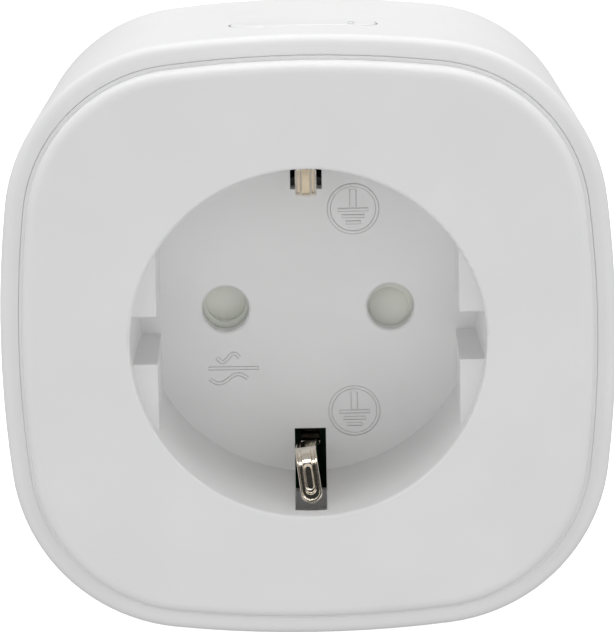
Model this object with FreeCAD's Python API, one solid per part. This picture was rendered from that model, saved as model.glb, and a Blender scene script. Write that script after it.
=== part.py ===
import FreeCAD
import Part
import math
import os

# Plug-in power meter for round side-earth mains sockets, in millimetres.
#
# A squircle body stands between a wall socket and an appliance plug. Its front is a raised
# pillow with a round recess that takes the appliance plug; its back is a flat wall face with
# a round boss and two pins. +Z is up, +Y points into the wall, and the origin is the centre
# of the boss's end face, between the pins. "Depth" always means the distance behind the
# front face, so at(depth) turns it into a Y value.

Vector = FreeCAD.Vector
OUT = "parts"

# ---- driving dimensions ------------------------------------------------------------------
BODY_DEPTH = 39.0        # front face to wall face
BOSS_LENGTH = 17.0       # wall face to the boss's end face
SEAT_DEPTH = BODY_DEPTH + BOSS_LENGTH
HALF_WIDTH = 34.7        # of the body's outline at the rim, before its edge is rounded
CORNER_RADIUS = 20.7     # of the outline's corner arcs
HALF_DIAGONAL = 39.4     # centre to the middle of a corner arc
DRAFT_INSET = 2.2        # how much smaller the outline is at the wall face
WALL = 2.8
BACK_WALL = 2.0

PIN_PITCH = 19.0
PIN_X = PIN_PITCH / 2
PIN_RADIUS = 2.4
PIN_ROOT_RADIUS = 2.6
PIN_LENGTH = 19.0

RECESS_RADIUS = 20.0
RECESS_FLOOR_RADIUS = 19.4
RECESS_DEPTH = 17.5
GUIDE_DEPTH = 3.0        # front of the side guides
GUIDE_X = 17.0
NOTCH_HALF = 2.75
HOLE_RADIUS = 2.7
FLOOR = 2.0
CUP_WALL = 1.7
CUP_BACK = RECESS_DEPTH + FLOOR

PILLOW_INSET = 2.7       # front pillow, from the rim outline
LEDGE_INSET = 2.23       # cover's ledge around the pillow
REBATE_INSET = 2.2       # opening in the rear housing that the ledge sits in
LEDGE_DEPTH = 2.1
RIM_DEPTH = 2.3
STEP_DEPTH = 3.9
SKIRT_DEPTH = 8.0

SCREW_XZ = 21.5
POST_SPLIT = 12.0        # where the housing's posts meet the cover's bosses

SLOT_HALF = 1.8
SLOT_Z = {1: 14.0, -1: 14.3}      # where the upper and the lower earth slot begin
SLOT_DEPTH = {1: 3.0, -1: 2.6}
SHROUD_Z = 24.2           # reach of the hollow behind each earth slot
CLIP_WIDTH = 2.44
CLIP_THICK = 0.5
CLIP_ROOT = (21.5, 17.2)  # depth and height of the clip's flexing root
CLIP_CREST = {1: (7.2, 15.5), -1: (7.2, 15.15)}
CLIP_KNEE = (17.5, 16.0)
CLIP_TIP = (4.05, 19.35)
TONGUE_WIDTH = 1.28       # raised tongue along the clip's middle
TONGUE_END = 4.25         # its round end, along the slope from the crest
LOWER_CLIP_ROLL = 8.6     # degrees that the lower clip leans over in its slot
LOWER_CLIP_X = -0.15      # where its root sits

BUTTON_DEPTH = 14.0
BUTTON_HALF_LENGTH = 8.25
BUTTON_HALF_WIDTH = 3.0
BUTTON_GAP = 0.2
BUTTON_TRAVEL = 0.5
FLANGE_TOP = 30.75
FLANGE_THICK = 0.8
BOARD_TOP = 26.8

SHUTTER = (19.8, 21.6)
SHUTTER_DISC = 3.5
POCKET_RADIUS = 2.25
POCKET_DEPTH = 1.1
POCKETS = ((-9.5, 0.22, -1), (9.35, -0.5, 1))  # x and z of each pocket, and its deep side
PIVOT_RADIUS = 1.0
RUNNING_GAP = 0.05
SHUTTER_STOPS = ((12.0, 19.9), (12.0, -58.4))  # radius and angle of the pegs it rests on
SPRING_WIRE = 0.18
SPRING_COIL = 1.7
SPRING_LEG = 5.0

CARRIER = (22.8, 24.8)
CARRIER_RADIUS = 15.0
EAR_END = 23.8
EAR_XZ = 13.2
TOWER_OUTER = 4.9
TOWER_INNER = 3.9
TOWER_END = 33.0

BOARD = (34.2, 35.8)
BOARD_INSET = 5.8
STAKES = ((-17.5, 15.5), (17.5, 15.5), (-18.6, -14.2), (16.8, -16.6))

BOSS_RADIUS = 18.7
BOSS_FLAT_X = 16.9
BOSS_RIB_HALF = 2.4
BOSS_END_WALL = 2.0
FLANGE_RADIUS = 20.3
CHANNEL_HALF = 3.2
CHANNEL_Z = 16.0
EARTH_PIN_Z = 10.0
EARTH_HOLE_RADIUS = 2.9
CROSS_STRIP = 43.0
RELAY_COIL = (-24.4, 28.0)  # x and depth of the coil's axis
SIDE_HOLES = ((-PIN_X, 0.0), (PIN_X, 0.0))
CORNERS = ((-1, -1), (-1, 1), (1, -1), (1, 1))


# ---- shapes that repeat ------------------------------------------------------------------
def at(depth):
    """The Y of a plane this far behind the front face."""
    return depth - SEAT_DEPTH


def block(x, d, z):
    """A box from pairs of limits: x, depth and z."""
    return Part.makeBox(x[1] - x[0], d[1] - d[0], z[1] - z[0], Vector(x[0], at(d[0]), z[0]))


def rod(radius, d, x=0.0, z=0.0):
    """A cylinder along Y between two depths."""
    return Part.makeCylinder(radius, d[1] - d[0], Vector(x, at(d[0]), z), Vector(0, 1, 0))


def taper(radii, d, x=0.0, z=0.0):
    """A cone along Y between two depths."""
    return Part.makeCone(radii[0], radii[1], d[1] - d[0], Vector(x, at(d[0]), z), Vector(0, 1, 0))


def tube(outer, inner, d, x=0.0, z=0.0):
    """A straight tube along Y."""
    return rod(outer, d, x, z).cut(rod(inner, (d[0] - 1, d[1] + 1), x, z))


def joined(first, *others):
    """One solid from overlapping ones."""
    return first.multiFuse(list(others)).removeSplitter()


def side_radius():
    """Radius of the outline's long side arcs, which meet the corner arcs tangentially."""
    centre = (HALF_DIAGONAL - CORNER_RADIUS) / math.sqrt(2)
    reach = centre - HALF_WIDTH
    return (CORNER_RADIUS**2 - centre**2 - reach**2) / (2 * (reach + CORNER_RADIUS))


def squircle(inset, depth):
    """The body's outline, moved inwards by inset: four side arcs and four corner arcs."""
    corner = (HALF_DIAGONAL - CORNER_RADIUS) / math.sqrt(2)
    long_radius = side_radius()
    side = HALF_WIDTH - long_radius
    span = math.hypot(corner - side, corner)
    towards = ((corner - side) / span, corner / span)
    meet = (side + (long_radius - inset) * towards[0], (long_radius - inset) * towards[1])
    diagonal = (HALF_DIAGONAL - inset) / math.sqrt(2)
    y = at(depth)
    edges = []
    for quarter in range(4):
        turn = FreeCAD.Rotation(Vector(0, 1, 0), 90 * quarter)
        points = [
            turn.multVec(Vector(a, 0, b)) + Vector(0, y, 0)
            for a, b in (
                (meet[0], -meet[1]),
                (HALF_WIDTH - inset, 0),
                meet,
                (diagonal, diagonal),
                (meet[1], meet[0]),
            )
        ]
        edges.append(Part.Arc(*points[:3]).toShape())
        edges.append(Part.Arc(*points[2:]).toShape())
    return Part.Wire(Part.__sortEdges__(edges))


def squircle_block(insets, d):
    """A solid between the outline at two depths, drafted if the insets differ."""
    wires = [squircle(inset, depth) for inset, depth in zip(insets, d)]
    return Part.makeLoft(wires, True, True)


def body_inset(depth):
    """How far the drafted outside has come in at this depth."""
    return DRAFT_INSET * (depth - RIM_DEPTH) / (BODY_DEPTH - RIM_DEPTH)


def outside_edges(shape, depth, least_reach):
    """Edges that lie in the plane at this depth and run at least this far out."""
    found = []
    for edge in shape.Edges:
        box = edge.BoundBox
        flat = abs(box.YMin - at(depth)) < 1e-4 and abs(box.YMax - at(depth)) < 1e-4
        middle = edge.valueAt((edge.FirstParameter + edge.LastParameter) / 2)
        if flat and math.hypot(middle.x, middle.z) > least_reach:
            found.append(edge)
    return found


def pill(half_length, half_width, z):
    """A block with round ends, long in X, centred on the button, between two heights."""
    straight = half_length - half_width
    middle = block(
        (-straight, straight),
        (BUTTON_DEPTH - half_width, BUTTON_DEPTH + half_width),
        z,
    )
    ends = [
        Part.makeCylinder(half_width, z[1] - z[0], Vector(x, at(BUTTON_DEPTH), z[0]))
        for x in (-straight, straight)
    ]
    return joined(middle, *ends)


def bent_strip(path, bends, thick, width, x=0.0):
    """Sheet metal bent along a path of (depth, z) points, with an arc at each inner point."""
    points = [Vector(0, at(depth), z) for depth, z in path]
    edges, start = [], points[0]
    for before, here, after, radius in zip(points, points[1:], points[2:], bends):
        back = (before - here).normalize()
        ahead = (after - here).normalize()
        half = back.getAngle(ahead) / 2
        run = radius / math.tan(half)
        centre = here + (back + ahead).normalize() * (radius / math.sin(half))
        middle = centre + (here - centre).normalize() * radius
        edges.append(Part.makeLine(start, here + back * run))
        edges.append(Part.Arc(here + back * run, middle, here + ahead * run).toShape())
        start = here + ahead * run
    edges.append(Part.makeLine(start, points[-1]))
    outline = Part.Wire(edges).makeOffset2D(thick / 2, 0, False, False)
    strip = Part.Face(outline).extrude(Vector(width, 0, 0))
    strip.translate(Vector(x - width / 2, 0, 0))
    return strip


def screw(head_radius, head_height, shank_radius, length, d, x, z):
    """A pan-head screw that points forward, its head's underside at depth d."""
    head = rod(head_radius, (d, d + head_height), x, z)
    head = head.makeFillet(head_height * 0.45, outside_edges(head, d + head_height, 0))
    slot_half = head_radius * 0.14
    for long_x in (True, False):
        across = (head_radius * 0.6, slot_half) if long_x else (slot_half, head_radius * 0.6)
        head = head.cut(
            block(
                (x - across[0], x + across[0]),
                (d + head_height * 0.45, d + head_height + 1),
                (z - across[1], z + across[1]),
            )
        )
    return joined(head, rod(shank_radius, (d - length, d + 0.01), x, z))


# ---- shells ------------------------------------------------------------------------------
def recess_space():
    """The hollow that takes the plug: a round mouth, then flats at the sides with notches."""
    mouth = rod(RECESS_RADIUS, (-1.0, GUIDE_DEPTH))
    deep = taper((RECESS_RADIUS, RECESS_FLOOR_RADIUS), (GUIDE_DEPTH, RECESS_DEPTH))
    between = block((-GUIDE_X, GUIDE_X), (GUIDE_DEPTH, RECESS_DEPTH), (-25, 25))
    notches = block((-25, 25), (GUIDE_DEPTH, RECESS_DEPTH), (-NOTCH_HALF, NOTCH_HALF))
    return mouth.fuse(deep.common(between.fuse(notches)))


def front_cover():
    """Pillow front, ledge, skirt and socket cup in one moulding."""
    pillow = squircle_block((PILLOW_INSET, PILLOW_INSET), (0.0, STEP_DEPTH))
    pillow = pillow.makeFillet(1.2, outside_edges(pillow, 0.0, 25))
    ledge = squircle_block((LEDGE_INSET, LEDGE_INSET), (LEDGE_DEPTH, STEP_DEPTH))
    skirt = squircle_block((3.1, 3.2), (STEP_DEPTH - 0.5, SKIRT_DEPTH))
    hollow = squircle_block((4.6, 4.6), (2.2, SKIRT_DEPTH + 1))
    shell = joined(pillow, ledge, skirt).cut(hollow)
    cup = rod(RECESS_RADIUS + CUP_WALL, (1.0, CUP_BACK))
    bosses = [rod(3.0, (1.5, POST_SPLIT), SCREW_XZ * i, SCREW_XZ * k) for i, k in CORNERS]
    ears = [rod(2.2, (CUP_BACK - 1, EAR_END), EAR_XZ * k, EAR_XZ * k) for k in (-1, 1)]
    shrouds = [
        block((-3.0, 3.0), (1.5, CUP_BACK + 0.6), sorted((19.0 * k, (SHROUD_Z + 1.2) * k)))
        for k in (-1, 1)
    ]
    rests = [
        block(sorted((9.0 * k, 11.0 * k)), (10.5, 18.5), (17.5, BOARD_TOP - 1.25)) for k in (-1, 1)
    ]
    body = joined(shell, cup, *bosses, *ears, *shrouds, *rests).cut(recess_space())
    mouth = [
        e
        for e in outside_edges(body, 0.0, RECESS_RADIUS - 0.1)
        if e.BoundBox.XMax < RECESS_RADIUS + 0.1
    ]
    body = body.makeFillet(0.35, mouth)
    holes = [rod(HOLE_RADIUS, (RECESS_DEPTH - 1, CUP_BACK + 1), x, z) for x, z in SIDE_HOLES]
    lead_ins = [
        taper((HOLE_RADIUS + 0.3, HOLE_RADIUS), (RECESS_DEPTH - 0.1, RECESS_DEPTH + 0.2), x, z)
        for x, z in SIDE_HOLES
    ]
    slots = []
    for k in (-1, 1):
        across = (-SLOT_HALF, SLOT_HALF)
        inner, outer = sorted((SLOT_Z[k] * k, 22.2 * k)), sorted((22.0 * k, SHROUD_Z * k))
        slots.append(block(across, (SLOT_DEPTH[k], CUP_BACK + 2), inner))
        slots.append(block(across, (SLOT_DEPTH[k], CUP_BACK - 0.5), outer))
    pilots = [rod(1.1, (3.0, POST_SPLIT + 1), SCREW_XZ * i, SCREW_XZ * k) for i, k in CORNERS]
    ear_pilots = [rod(0.75, (CUP_BACK, 25), EAR_XZ * k, EAR_XZ * k) for k in (-1, 1)]
    pivot_seat = rod(PIVOT_RADIUS, (CUP_BACK - 1.0, CUP_BACK + 1))
    return body.cut(holes + lead_ins + slots + pilots + ear_pilots + [pivot_seat])


def plug_body():
    """Round plug with side flats and guide ribs, its flange held behind the housing's wall."""
    length = (BODY_DEPTH, SEAT_DEPTH)
    round_body = rod(BOSS_RADIUS, length)
    round_body = round_body.makeFillet(0.8, outside_edges(round_body, SEAT_DEPTH, 0))
    across = block((-BOSS_FLAT_X, BOSS_FLAT_X), length, (-25, 25))
    ribs = block((-25, 25), length, (-BOSS_RIB_HALF, BOSS_RIB_HALF))
    neck = rod(BOSS_RADIUS, (BODY_DEPTH - BACK_WALL - 0.5, BODY_DEPTH + 0.05))
    flange = rod(FLANGE_RADIUS, (BODY_DEPTH - BACK_WALL - 1.0, BODY_DEPTH - BACK_WALL))
    body = joined(round_body.common(across.fuse(ribs)), neck, flange)
    d = (BODY_DEPTH - BACK_WALL - 2.0, SEAT_DEPTH - BOSS_END_WALL)
    hollow = rod(BOSS_RADIUS - 2, d).common(block((-14.9, 14.9), d, (-13.9, 13.9)))
    cuts = [hollow, rod(EARTH_HOLE_RADIUS, (SEAT_DEPTH - 3, SEAT_DEPTH + 1), 0, EARTH_PIN_Z)]
    for k in (-1, 1):
        outward = sorted((CHANNEL_Z * k, 25.0 * k))
        cuts.append(block((-CHANNEL_HALF, CHANNEL_HALF), (BODY_DEPTH + 1.5, SEAT_DEPTH + 1), outward))
        through = sorted((13.0 * k, 17.0 * k))
        cuts.append(block((-3.1, 3.1), (CROSS_STRIP - 0.7, CROSS_STRIP + 1.8), through))
        cuts.append(rod(PIN_ROOT_RADIUS + RUNNING_GAP, (SEAT_DEPTH - 3, SEAT_DEPTH + 1), PIN_X * k))
    return body.cut(cuts)


def rear_housing():
    """Drafted back shell with the wall face, screw posts and openings for button and plug."""
    shell = squircle_block((0.0, DRAFT_INSET), (RIM_DEPTH, BODY_DEPTH))
    shell = shell.makeFillet(1.3, outside_edges(shell, RIM_DEPTH, 25))
    shell = shell.makeFillet(2.0, outside_edges(shell, BODY_DEPTH, 25))
    inner_back = BODY_DEPTH - BACK_WALL
    cavity = squircle_block((WALL, body_inset(inner_back) + WALL), (STEP_DEPTH, inner_back))
    rebate = squircle_block((REBATE_INSET, REBATE_INSET), (RIM_DEPTH - 1, STEP_DEPTH))
    shell = shell.cut([cavity, rebate])
    posts = [rod(3.9, (POST_SPLIT, BODY_DEPTH - 1), SCREW_XZ * i, SCREW_XZ * k) for i, k in CORNERS]
    stakes = []
    for x, z in STAKES:
        stakes += [rod(2.2, (BOARD[1], inner_back + 0.5), x, z), rod(1.0, (BOARD[0] - 0.5, BOARD[1]), x, z)]
        stakes.append(taper((1.3, 1.8), (BOARD[0] - 0.8, BOARD[0]), x, z))
    body = joined(shell, *posts, *stakes)
    cuts = [rod(2.8, (34.0, BODY_DEPTH + 1), SCREW_XZ * i, SCREW_XZ * k) for i, k in CORNERS]
    cuts += [rod(1.5, (POST_SPLIT - 1, 35), SCREW_XZ * i, SCREW_XZ * k) for i, k in CORNERS]
    cuts.append(rod(BOSS_RADIUS + RUNNING_GAP, (inner_back - 1, BODY_DEPTH + 1)))
    cuts.append(
        pill(BUTTON_HALF_LENGTH + BUTTON_GAP, BUTTON_HALF_WIDTH + BUTTON_GAP, (28.0, 40.0))
    )
    return body.cut(cuts)


# ---- button and control board --------------------------------------------------------------
def power_button():
    """Pill-shaped cap, a hair proud of the top, with a flange that keeps it in."""
    skin = squircle_block((-0.12, DRAFT_INSET - 0.12), (RIM_DEPTH, BODY_DEPTH))
    cap = pill(BUTTON_HALF_LENGTH, BUTTON_HALF_WIDTH, (FLANGE_TOP, 40.0)).common(skin)
    rim = [e for e in cap.Edges if e.BoundBox.ZMin > 32.8]
    cap = cap.makeFillet(0.3, rim)
    flange = pill(
        BUTTON_HALF_LENGTH + 0.7, BUTTON_HALF_WIDTH + 0.7, (FLANGE_TOP - FLANGE_THICK, FLANGE_TOP)
    )
    return joined(cap, flange)


def tact_switch_body():
    """Square switch on the control board, open on top for its plunger."""
    box = block((-3.0, 3.0), (BUTTON_DEPTH - 3, BUTTON_DEPTH + 3), (BOARD_TOP, 28.9))
    well = Part.makeCylinder(1.65, 2.0, Vector(0, at(BUTTON_DEPTH), 27.2))
    return box.cut(well)


def tact_switch_plunger():
    """Round plunger between the switch and the button's flange."""
    top = FLANGE_TOP - FLANGE_THICK - RUNNING_GAP
    return Part.makeCylinder(1.6, top - 27.8, Vector(0, at(BUTTON_DEPTH), 27.8))


def control_board():
    """Small board above the cup that carries the switch, the light and the radio."""
    board = block((-13.5, 13.5), (9.0, 32.5), (BOARD_TOP - 1.2, BOARD_TOP))
    tongue = block((-6.0, 6.0), (32.0, 36.2), (BOARD_TOP - 1.2, BOARD_TOP))
    return joined(board, tongue)


def status_light():
    """Surface-mounted light beside the switch, under the end of the button."""
    return block((4.6, 6.2), (BUTTON_DEPTH - 0.8, BUTTON_DEPTH + 0.8), (BOARD_TOP, BOARD_TOP + 1.1))


def radio_shield():
    """Pressed metal can over the radio, open underneath."""
    can = block((-8.0, 8.0), (19.0, 31.0), (BOARD_TOP, 29.2))
    can = can.makeFillet(0.5, [e for e in can.Edges if e.BoundBox.ZMin > BOARD_TOP + 0.1])
    return can.cut(block((-7.7, 7.7), (19.3, 30.7), (26.0, 28.9)))


def radio_chip():
    """Radio and processor under the can."""
    return block((-3.5, 3.5), (21.5, 28.5), (BOARD_TOP, BOARD_TOP + 1.0))


# ---- shutter -------------------------------------------------------------------------------
def slanted_pocket(x, z, deep_side):
    """Round pocket whose floor slopes: flush on one side, deepest on the other."""
    pocket = rod(POCKET_RADIUS, (SHUTTER[0] - 1, SHUTTER[0] + POCKET_DEPTH), x, z)
    slope = math.degrees(math.atan(POCKET_DEPTH / (2 * POCKET_RADIUS)))
    keep = Part.makeBox(12, 6, 12, Vector(x - 6, at(SHUTTER[0] + POCKET_DEPTH / 2) - 6, z - 6))
    keep.rotate(Vector(x, at(SHUTTER[0] + POCKET_DEPTH / 2), z), Vector(1, 0, 0), -slope * deep_side)
    return pocket.common(keep)


def thumbnail_groove():
    """Arc groove beside the right pocket that lets the blade pass the edge of the pin hole."""
    depth = (SHUTTER[0] - 1, SHUTTER[0] + 1.3)
    ring = rod(3.3, depth, PIN_X).cut(rod(2.9, depth, PIN_X - 0.14, -0.42))
    return ring.common(block((PIN_X + 0.3, PIN_X + 4), depth, (-3.4, 0.8)))


def safety_shutter():
    """Turning blade that closes both pin holes until two pins push it at once."""
    discs = [rod(SHUTTER_DISC, SHUTTER, x) for x, _ in SIDE_HOLES]
    arm = block((-PIN_X, PIN_X), (SHUTTER[0] + 0.3, SHUTTER[1]), (-2.2, 2.2))
    hub = rod(3.0, SHUTTER)
    hook = rod(0.4, (SHUTTER[1] - 0.5, CARRIER[0] - 0.2), 0.5 - SPRING_LEG, 1.1)
    blade = joined(arm, hub, hook, *discs)
    blade = blade.cut(rod(PIVOT_RADIUS + RUNNING_GAP, (SHUTTER[0] - 1, SHUTTER[1] + 1)))
    pockets = [slanted_pocket(*place) for place in POCKETS]
    return blade.cut([*pockets, thumbnail_groove()])


def shutter_pivot():
    """Steel pin pressed into the back of the recess floor."""
    return rod(PIVOT_RADIUS, (CUP_BACK - 1.0, 26.2))


def shutter_spring():
    """Torsion spring round the pivot; one leg pushes the blade, the other the carrier."""
    turns, pitch = 3, SPRING_WIRE * 1.85
    depths = [SHUTTER[1] + 0.1 + SPRING_WIRE + pitch * k for k in range(turns)]
    axis = Vector(0, 1, 0)
    parts = [Part.makeTorus(SPRING_COIL, SPRING_WIRE, Vector(0, at(d), 0), axis) for d in depths]
    for depth, z in ((depths[0], SPRING_COIL), (depths[-1], -SPRING_COIL)):
        start = Vector(0.2, at(depth), z)
        leg = Part.makeCylinder(SPRING_WIRE * 0.96, SPRING_LEG + 0.2, start, Vector(-1, 0, 0))
        parts.append(leg)
    return joined(*parts)


# ---- contacts ------------------------------------------------------------------------------
def contact_carrier():
    """Plate behind the shutter with a tower around each live contact."""
    plate = rod(CARRIER_RADIUS, CARRIER)
    rim = tube(CARRIER_RADIUS, CARRIER_RADIUS - 1.4, (CUP_BACK + 0.05, CARRIER[0] + 0.5))
    ears = [rod(2.6, (EAR_END, EAR_END + 2.0), EAR_XZ * k, EAR_XZ * k) for k in (-1, 1)]
    arms = []
    for k in (-1, 1):
        square = sorted((8.0 * k, EAR_XZ * k))
        arms.append(block(square, (EAR_END, EAR_END + 2.0), square))
    towers = [rod(TOWER_OUTER, (CARRIER[0] + 1, TOWER_END), x) for x, _ in SIDE_HOLES]
    pegs = []
    for radius, angle in SHUTTER_STOPS:
        x, z = radius * math.cos(math.radians(angle)), radius * math.sin(math.radians(angle))
        pegs += [rod(0.8, (SHUTTER[0] + 0.2, CARRIER[0] + 0.5), x * k, z * k) for k in (-1, 1)]
    pegs.append(rod(0.4, (SHUTTER[1] + 0.2, CARRIER[0] + 0.5), 0.5 - SPRING_LEG, -2.3))
    body = joined(plate, rim, *ears, *arms, *towers, *pegs)
    cuts = [rod(3.1, (CARRIER[0] - 1, CARRIER[1] + 1), x) for x, _ in SIDE_HOLES]
    cuts += [rod(TOWER_INNER, (CARRIER[1], TOWER_END + 1), x) for x, _ in SIDE_HOLES]
    cuts += [rod(0.95, (CARRIER[0] - 1, 27), EAR_XZ * k, EAR_XZ * k) for k in (-1, 1)]
    cuts += [rod(2.35, (CUP_BACK, EAR_END), EAR_XZ * k, EAR_XZ * k) for k in (-1, 1)]
    cuts.append(rod(PIVOT_RADIUS + RUNNING_GAP, (CARRIER[0] - 1, CARRIER[1] + 1)))
    return body.cut(cuts)


def live_contact(side):
    """Split spring sleeve for one plug pin, with a leg to the main board."""
    x = PIN_X * side
    sleeve = tube(2.95, 2.35, (CARRIER[1], TOWER_END - 0.5), x)
    flare = tube(3.5, 2.35, (CARRIER[1], CARRIER[1] + 0.7), x)
    leg = block(sorted((x + 2.8 * side, x + 3.4 * side)), (30.0, BOARD[1] + 1.0), (-1.5, 1.5))
    body = joined(sleeve, flare, leg)
    split = block((x - 0.35, x + 0.35), (CARRIER[1], 31.0), (-4, 4))
    return body.cut(split)


def earth_bridge():
    """U-shaped strip that joins both earth clips behind the carrier."""
    back, root, z = 27.6, CLIP_ROOT[0] + 0.9, CLIP_ROOT[1]
    return bent_strip(((root, z), (back, z), (back, -z), (root, -z)), (1.2, 1.2), 0.8, 2.2)


def slope_frame(side):
    """Placement of a clip's front slope: X across, Y from crest to tip, Z towards the plug."""
    crest = CLIP_CREST[side]
    along = Vector(0, CLIP_TIP[0] - crest[0], CLIP_TIP[1] - crest[1]).normalize()
    across = Vector(1, 0, 0)
    turn = FreeCAD.Rotation(across, along, across.cross(along), "ZXY")
    return FreeCAD.Placement(Vector(0, at(crest[0]), crest[1]), turn)


def slope_slot(side, half, start, end, height, round_start=False):
    """A tool on the clip's slope with a round end towards the tip, and one at the crest if asked."""
    tall = height[1] - height[0]
    tool = Part.makeCylinder(half, tall, Vector(0, end - half, height[0]))
    tool = tool.fuse(Part.makeBox(2 * half, end - half - start, tall, Vector(-half, start, height[0])))
    if round_start:
        tool = tool.fuse(Part.makeCylinder(half, tall, Vector(0, start, height[0])))
    tool.Placement = slope_frame(side)
    return tool


def earth_clip(side):
    """Spring clip that leans into the recess and presses on the plug's side earth."""
    crest = CLIP_CREST[side]
    slope = math.hypot(CLIP_TIP[0] - crest[0], CLIP_TIP[1] - crest[1])
    path = (CLIP_ROOT, CLIP_KNEE, crest, CLIP_TIP)
    spring = bent_strip(path, (6.0, 1.6), CLIP_THICK, CLIP_WIDTH)
    half = CLIP_WIDTH / 2
    corners = slope_slot(side, half + 1, 2.0, slope + 2.0, (-1, 1))
    corners = corners.cut(slope_slot(side, half, 1.0, slope + CLIP_THICK / 2, (-2, 2)))
    pocket = slope_slot(side, half - 0.24, 1.0, slope - 0.02, (CLIP_THICK / 2 - 0.15, 1))
    rise = (14.0, crest[1] + (CLIP_KNEE[1] - crest[1]) * (14.0 - crest[0]) / (CLIP_KNEE[0] - crest[0]))
    tongue_path = (rise, (crest[0] - 0.2, crest[1] - 0.28), (4.2, 19.0))
    tongue = bent_strip(tongue_path, (1.6,), CLIP_THICK, TONGUE_WIDTH)
    reach = slope_slot(side, TONGUE_WIDTH / 2, 1.0, TONGUE_END, (-2, 2))
    keep = reach.fuse(block((-1, 1), (6.5, 15), (10, 17)))
    clip = spring.cut([corners, pocket]).fuse(tongue.common(keep)).removeSplitter()
    opening = (CLIP_THICK / 2 - 0.15, 2)
    clip = clip.cut(slope_slot(side, 0.34, 1.3, TONGUE_END - 0.75, opening, True))
    if side < 0:
        clip = clip.mirror(Vector(), Vector(0, 0, 1))
        clip.rotate(Vector(0, 0, -CLIP_ROOT[1]), Vector(0, 1, 0), -LOWER_CLIP_ROLL)
        clip.translate(Vector(LOWER_CLIP_X, 0, 0))
    return clip


# ---- wall plug -----------------------------------------------------------------------------
def plug_pin(side):
    """Solid pin with a domed tip, a collar inside the boss and a tail for its strap."""
    x = PIN_X * side
    shaft = rod(PIN_RADIUS, (SEAT_DEPTH - 1.0, SEAT_DEPTH + PIN_LENGTH), x)
    shaft = shaft.makeFillet(1.9, outside_edges(shaft, SEAT_DEPTH + PIN_LENGTH, 0))
    root = rod(PIN_ROOT_RADIUS, (SEAT_DEPTH - BOSS_END_WALL - 0.5, SEAT_DEPTH), x)
    collar = rod(3.5, (SEAT_DEPTH - BOSS_END_WALL - 1.4, SEAT_DEPTH - BOSS_END_WALL), x)
    tail = rod(1.6, (45.0, SEAT_DEPTH - BOSS_END_WALL - 1), x)
    return joined(shaft, root, collar, tail)


def pin_retainer():
    """Plate that holds the pins' collars against the boss's end wall."""
    d = (49.6, SEAT_DEPTH - BOSS_END_WALL - 1.4)
    plate = rod(BOSS_RADIUS - 2.2, d).common(block((-14.7, 14.7), d, (-13.7, 13.7)))
    holes = [rod(1.65, (49, 54), x) for x, _ in SIDE_HOLES]
    return plate.cut(holes + [rod(3.2, (49, 54), 0, EARTH_PIN_Z)])


def plug_earth_bracket():
    """One strip across the boss, both ends lying outside as the plug's side earth contacts."""
    z = CHANNEL_Z + 0.3
    path = ((SEAT_DEPTH - 0.9, z), (CROSS_STRIP, z), (CROSS_STRIP, -z), (SEAT_DEPTH - 0.9, -z))
    strip = bent_strip(path, (1.0, 1.0), 0.6, 6.0)
    return strip.cut(rod(2.5, (CROSS_STRIP - 1, CROSS_STRIP + 1), 0, EARTH_PIN_Z))


def earth_receptacle():
    """Sleeve for the earth pin of a socket that has one."""
    sleeve = tube(3.1, 2.45, (CROSS_STRIP + 0.3, SEAT_DEPTH - BOSS_END_WALL), 0, EARTH_PIN_Z)
    return sleeve.cut(block((-0.3, 0.3), (46, SEAT_DEPTH), (EARTH_PIN_Z, EARTH_PIN_Z + 5)))


def supply_strap(side):
    """Copper strap from a pin's tail to the main board."""
    x = PIN_X * side
    ring = block(sorted((x - 2.6 * side, x + 4.5 * side)), (45.6, 46.4), (-2.6, 2.6))
    leg = block(sorted((x + 3.7 * side, x + 4.5 * side)), (BOARD[0] - 1.0, 46.0), (-2.6, 2.6))
    return joined(ring, leg).cut(rod(1.62, (45, 47), x))


def earth_link():
    """Strap from the front earth bridge to the plug's earth bracket."""
    return block((-1.5, 1.5), (28.0, CROSS_STRIP - 0.3), (-6.4, -5.6))


# ---- main board ----------------------------------------------------------------------------
def main_board():
    """Power board behind the contacts, with holes for an inserted plug's pins."""
    board = squircle_block((BOARD_INSET, BOARD_INSET), BOARD)
    cuts = [rod(2.75, (34, 37), x) for x, _ in SIDE_HOLES]
    cuts += [rod(4.2, (34, 37), SCREW_XZ * i, SCREW_XZ * k) for i, k in CORNERS]
    cuts += [rod(1.05, (34, 37), x, z) for x, z in STAKES]
    for side in (-1, 1):
        cuts.append(block(sorted((12.2 * side, 14.1 * side)), (34, 37), (-2.7, 2.7)))
    cuts.append(block((-1.7, 1.7), (34, 37), (-6.6, -5.4)))
    cuts.append(block((-6.1, 6.1), (34, 37), (25.5, 26.9)))
    return board.cut(cuts)


def relay_case():
    """Dust cover of the relay, open towards the board."""
    outer = block((-28.6, -18.2), (20.4, 33.6), (-10.2, 10.2))
    outer = outer.makeFillet(0.5, outside_edges(outer, 20.4, 0))
    return outer.cut(block((-27.9, -18.9), (21.1, 34.0), (-9.5, 9.5)))


def relay_base():
    """Relay base plate with its five legs through the board."""
    plate = block((-28.6, -18.2), (33.6, BOARD[0]), (-10.2, 10.2))
    legs = [
        block((x - 0.4, x + 0.4), (34.0, BOARD[0]), (z - 0.3, z + 0.3))
        for x, z in ((-27, -8), (-20, -8), (-23.4, 8))
    ]
    return joined(plate, *legs)


def relay_coil():
    """Wound coil between the two flanges that stand on the relay's base."""
    winding = Part.makeCylinder(2.8, 10.5, Vector(RELAY_COIL[0], at(RELAY_COIL[1]), -6.5))
    flanges = [block((-27.6, -21.2), (24.8, 33.6), (z, z + 0.8)) for z in (-6.8, 3.7)]
    bore = Part.makeCylinder(1.3, 14.0, Vector(RELAY_COIL[0], at(RELAY_COIL[1]), -7.0))
    return joined(winding, *flanges).cut(bore)


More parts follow.
